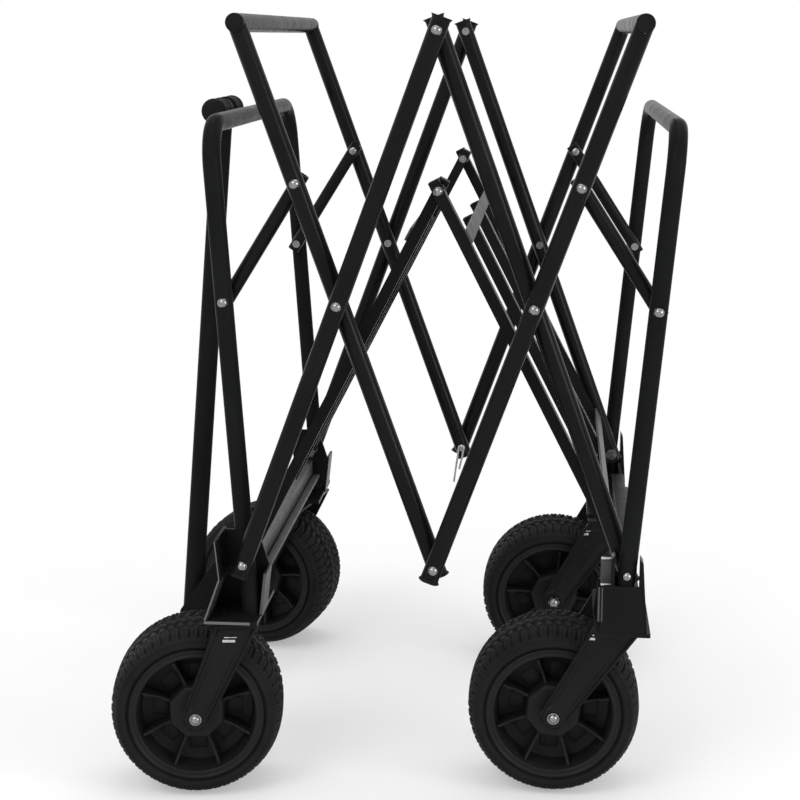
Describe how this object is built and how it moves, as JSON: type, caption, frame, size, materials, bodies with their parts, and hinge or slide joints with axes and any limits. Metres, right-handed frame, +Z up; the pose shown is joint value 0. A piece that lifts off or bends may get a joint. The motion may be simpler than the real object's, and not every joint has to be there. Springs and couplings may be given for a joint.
{
  "type": "folding wagon frame",
  "caption": "Bare folding wagon frame of scissor tubes with bent end frames, hinged slatted floor, wide caster and fixed wheels and a hinged pull handle.",
  "frame": {"origin": "ground level under the middle of the box round the half folded wagon", "axes": "+X towards the rear end away from the handle, +Y to the far side, +Z up"},
  "size_m": [0.5718, 0.5863, 0.783],
  "materials": {
    "frame_tube": "satin powder coat",
    "pressed_steel": "satin powder coat",
    "grey_steel": "light grey paint",
    "fastener": "bright zinc",
    "plug": "matt",
    "grip": "textured",
    "rim": "semi gloss",
    "tyre": "matt"
  },
  "bodies": {
    "front_end": {"front_frame": "frame_tube", "front_bracket_near": "pressed_steel", "front_bracket_far": "pressed_steel", "front_beam": "grey_steel", "handle_yoke": "pressed_steel", "handle_pin": "fastener", "front_bolts": "fastener", "kingpins": "fastener"},
    "front_low": {"front_low_rod_near": "frame_tube", "front_low_rod_far": "frame_tube", "front_low_plugs": "plug", "front_low_rivets": "fastener"},
    "front_up": {"front_up_rod_near": "frame_tube", "front_up_rod_far": "frame_tube", "front_rail": "frame_tube", "front_up_plugs": "plug", "front_up_rivets": "fastener"},
    "rear_low": {"rear_low_rod_near": "frame_tube", "rear_low_rod_far": "frame_tube", "rear_low_plugs": "plug"},
    "rear_up": {"rear_up_rod_near": "frame_tube", "rear_up_rod_far": "frame_tube", "rear_rail": "frame_tube", "rear_up_plugs": "plug", "rear_up_rivets": "fastener"},
    "rear_end": {"rear_frame": "frame_tube", "rear_bracket_near": "pressed_steel", "rear_bracket_far": "pressed_steel", "rear_beam": "pressed_steel", "rear_fork_near": "pressed_steel", "rear_fork_far": "pressed_steel", "rear_axles": "fastener", "rear_bolts": "fastener"},
    "floor_front": {"floor_front_bars": "frame_tube", "floor_front_strips": "grey_steel", "floor_front_plugs": "plug"},
    "floor_rear": {"floor_rear_bars": "frame_tube", "floor_rear_strips": "grey_steel", "floor_rear_plugs": "plug", "floor_rear_rivets": "fastener"},
    "front_link": {"front_links": "frame_tube"},
    "rear_link": {"rear_links": "frame_tube"},
    "caster_near": {"caster_fork_near": "pressed_steel", "caster_axle_near": "fastener"},
    "caster_far": {"caster_fork_far": "pressed_steel", "caster_axle_far": "fastener"},
    "front_wheel_near": {"front_rim_near": "rim", "front_tyre_near": "tyre"},
    "front_wheel_far": {"front_rim_far": "rim", "front_tyre_far": "tyre"},
    "rear_wheel_near": {"rear_rim_near": "rim", "rear_tyre_near": "tyre"},
    "rear_wheel_far": {"rear_rim_far": "rim", "rear_tyre_far": "tyre"},
    "handle": {"handle_shaft": "frame_tube", "handle_head": "frame_tube", "handle_grip": "grip"}
  },
  "joints": [
    {"name": "fold", "type": "hinge", "parent": "front_end", "child": "front_low", "pos_m": [-0.13679, 0, 0.25], "axis": [0, 1, 0], "range_deg": [-9, 28.3]},
    {"name": "front_crossing", "type": "hinge", "parent": "front_low", "child": "front_up", "pos_m": [-0.04273, 0, 0.50841], "axis": [0, 1, 0], "range_deg": [-56.8, 18.2]},
    {"name": "top_centre", "type": "hinge", "parent": "front_low", "child": "rear_low", "pos_m": [0.05132, 0, 0.76683], "axis": [0, 1, 0], "range_deg": [-56.8, 18.2]},
    {"name": "rear_crossing", "type": "hinge", "parent": "rear_low", "child": "rear_up", "pos_m": [0.14538, 0, 0.50841], "axis": [0, 1, 0], "range_deg": [-18.2, 56.8]},
    {"name": "rear_corner", "type": "hinge", "parent": "rear_low", "child": "rear_end", "pos_m": [0.23943, 0, 0.25], "axis": [0, 1, 0], "range_deg": [-9.2, 28.5]},
    {"name": "floor_front_hinge", "type": "hinge", "parent": "front_end", "child": "floor_front", "pos_m": [-0.13679, 0, 0.25], "axis": [0, 1, 0], "range_deg": [-16.85, 52.56]},
    {"name": "floor_hinge", "type": "hinge", "parent": "floor_front", "child": "floor_rear", "pos_m": [0.05132, 0, 0.616], "axis": [0, 1, 0], "range_deg": [-104.91, 33.5]},
    {"name": "front_link_hinge", "type": "hinge", "parent": "front_end", "child": "front_link", "pos_m": [-0.15528, 0, 0.508], "axis": [0, 1, 0], "range_deg": [-16.85, 52.56]},
    {"name": "rear_link_hinge", "type": "hinge", "parent": "rear_end", "child": "rear_link", "pos_m": [0.262, 0, 0.508], "axis": [0, 1, 0], "range_deg": [-52.56, 16.85]},
    {"name": "handle_hinge", "type": "hinge", "parent": "front_end", "child": "handle", "pos_m": [-0.24679, 0, 0.1], "axis": [0, 1, 0], "range_deg": [-100, 0]},
    {"name": "caster_swivel_near", "type": "hinge", "parent": "front_end", "child": "caster_near", "pos_m": [-0.15279, -0.224, 0.19], "axis": [0, 0, 1], "continuous": true},
    {"name": "front_spin_near", "type": "hinge", "parent": "caster_near", "child": "front_wheel_near", "pos_m": [-0.19438, -0.22984, 0.088], "axis": [-0.1392, 0.9903, 0], "continuous": true},
    {"name": "rear_spin_near", "type": "hinge", "parent": "rear_end", "child": "rear_wheel_near", "pos_m": [0.17143, -0.193, 0.088], "axis": [0, 1, 0], "continuous": true},
    {"name": "caster_swivel_far", "type": "hinge", "parent": "front_end", "child": "caster_far", "pos_m": [-0.15279, 0.224, 0.19], "axis": [0, 0, 1], "continuous": true},
    {"name": "front_spin_far", "type": "hinge", "parent": "caster_far", "child": "front_wheel_far", "pos_m": [-0.19402, 0.23201, 0.088], "axis": [0.1908, 0.9816, 0], "continuous": true},
    {"name": "rear_spin_far", "type": "hinge", "parent": "rear_end", "child": "rear_wheel_far", "pos_m": [0.17143, 0.193, 0.088], "axis": [0, 1, 0], "continuous": true}
  ],
  "couplings": [
    {"joint": "front_crossing", "follows": "fold", "ratio": -2},
    {"joint": "top_centre", "follows": "fold", "ratio": -2},
    {"joint": "rear_crossing", "follows": "fold", "ratio": 2},
    {"joint": "rear_corner", "follows": "fold", "ratio": 1},
    {"joint": "floor_front_hinge", "follows": "fold", "ratio": 1.85},
    {"joint": "floor_hinge", "follows": "fold", "ratio": -3.7},
    {"joint": "front_link_hinge", "follows": "fold", "ratio": 1.85},
    {"joint": "rear_link_hinge", "follows": "fold", "ratio": -1.85}
  ]
}
